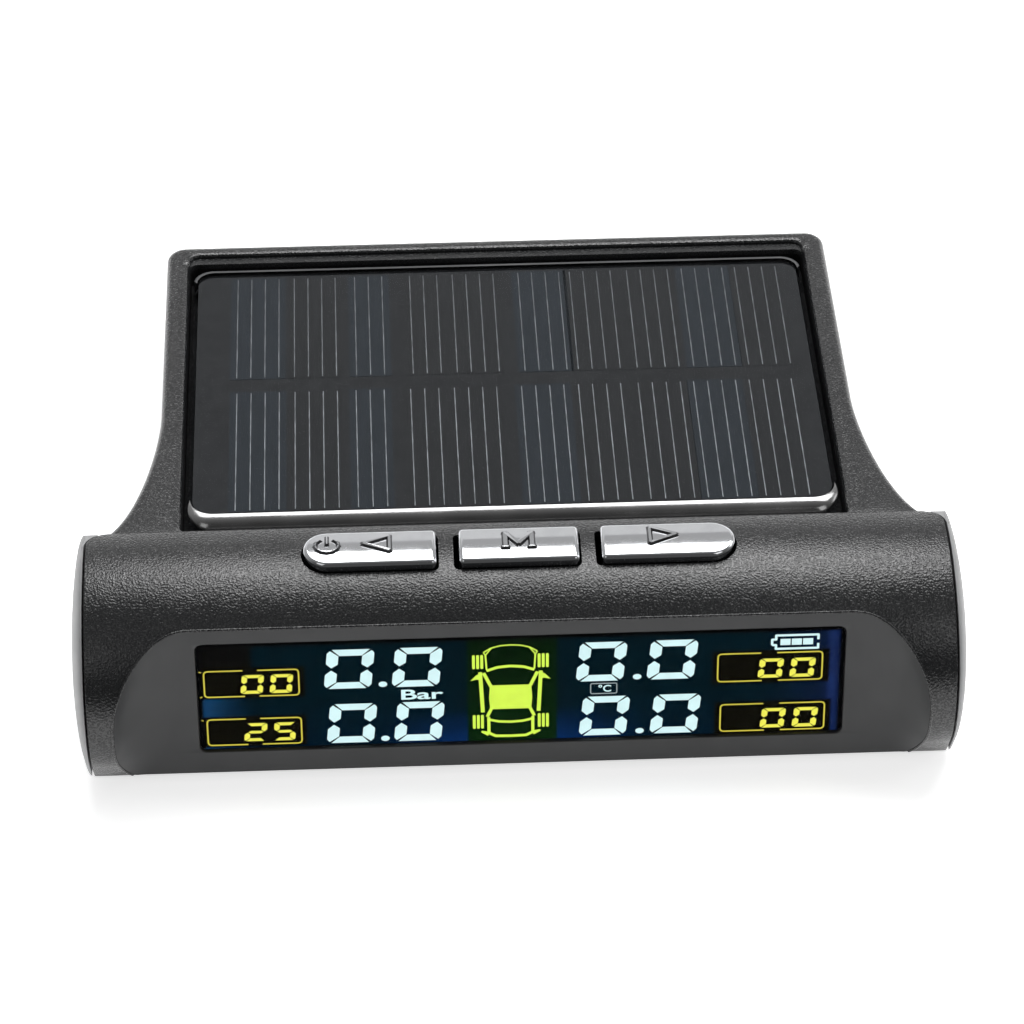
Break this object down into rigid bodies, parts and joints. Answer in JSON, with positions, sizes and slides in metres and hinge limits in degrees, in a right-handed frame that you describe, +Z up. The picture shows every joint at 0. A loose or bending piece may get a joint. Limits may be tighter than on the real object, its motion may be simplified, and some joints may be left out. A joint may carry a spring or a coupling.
{
  "type": "solar tyre pressure monitor",
  "caption": "Wedge-shaped dashboard tyre pressure monitor: a round display bar with press buttons on its crest and a sloping solar deck behind it.",
  "frame": {"origin": "bottom centre of the bounding box, on the underside of the mounting pad", "axes": "+X along the display bar to the reader's right, -Y out of the display face towards the reader, +Z up"},
  "size_m": [0.0864, 0.067, 0.0204],
  "materials": {
    "housing": "charcoal ABS with a fine spark-eroded texture, smooth on the display face",
    "cover": "black ABS, fine texture",
    "end_caps": "grey ABS, semi-gloss",
    "silicone": "black silicone, matt",
    "screws": "zinc plated",
    "window": "clear acrylic, polished",
    "lcd_glass": "dark liquid crystal glass, polished",
    "diffuser": "white translucent",
    "white_plastic": "white, matt",
    "ribbon": "amber polyimide film",
    "solar_resin": "clear cast resin, glossy",
    "solar_cells": "dark silicon strips with fine silver fingers",
    "backsheet": "black laminate",
    "red_wire": "red PVC",
    "black_wire": "black PVC",
    "chrome": "chrome-plated ABS, mirror bright",
    "black_plastic": "black moulding",
    "circuit_board": "green solder mask on glass fibre",
    "metal_parts": "tinned steel",
    "brass_parts": "bright brass",
    "battery_foil": "laminated aluminium pouch"
  },
  "bodies": {
    "monitor": {"top_housing": "housing", "bottom_cover": "cover", "end_cap_left": "end_caps", "end_cap_right": "end_caps", "mounting_pad": "silicone", "case_screw_front_left": "screws", "case_screw_front_right": "screws", "case_screw_rear_left": "screws", "case_screw_rear_right": "screws", "display_window": "window", "lcd_front_glass": "lcd_glass", "lcd_rear_glass": "lcd_glass", "light_guide": "diffuser", "display_frame": "white_plastic", "display_ribbon": "ribbon", "solar_cover": "solar_resin", "solar_cells": "solar_cells", "solar_backsheet": "backsheet", "solar_lead_red": "red_wire", "solar_lead_black": "black_wire", "switch_body_left": "metal_parts", "switch_body_mode": "metal_parts", "switch_body_right": "metal_parts", "button_board": "circuit_board", "button_board_screw_left": "screws", "button_board_screw_right": "screws", "main_board": "circuit_board", "main_board_screw_front": "screws", "main_board_screw_rear": "screws", "rf_module": "metal_parts", "microcontroller": "black_plastic", "crystal": "metal_parts", "charge_controller": "black_plastic", "buzzer": "black_plastic", "vibration_sensor": "brass_parts", "antenna_coil": "brass_parts", "usb_socket_shell": "metal_parts", "usb_socket_tongue": "black_plastic", "battery": "battery_foil", "battery_tape": "white_plastic", "battery_lead_red": "red_wire", "battery_lead_black": "black_wire"},
    "left_key": {"button_left": "chrome", "switch_plunger_left": "black_plastic"},
    "mode_key": {"button_mode": "chrome", "switch_plunger_mode": "black_plastic"},
    "right_key": {"button_right": "chrome", "switch_plunger_right": "black_plastic"}
  },
  "joints": [
    {"name": "left_press", "type": "slide", "parent": "monitor", "child": "left_key", "axis": [0, 0, -1], "range_m": [0, 0.0005], "stiffness_N_per_m": 800, "springref_m": -0.0005},
    {"name": "mode_press", "type": "slide", "parent": "monitor", "child": "mode_key", "axis": [0, 0, -1], "range_m": [0, 0.0005], "stiffness_N_per_m": 800, "springref_m": -0.0005},
    {"name": "right_press", "type": "slide", "parent": "monitor", "child": "right_key", "axis": [0, 0, -1], "range_m": [0, 0.0005], "stiffness_N_per_m": 800, "springref_m": -0.0005}
  ]
}
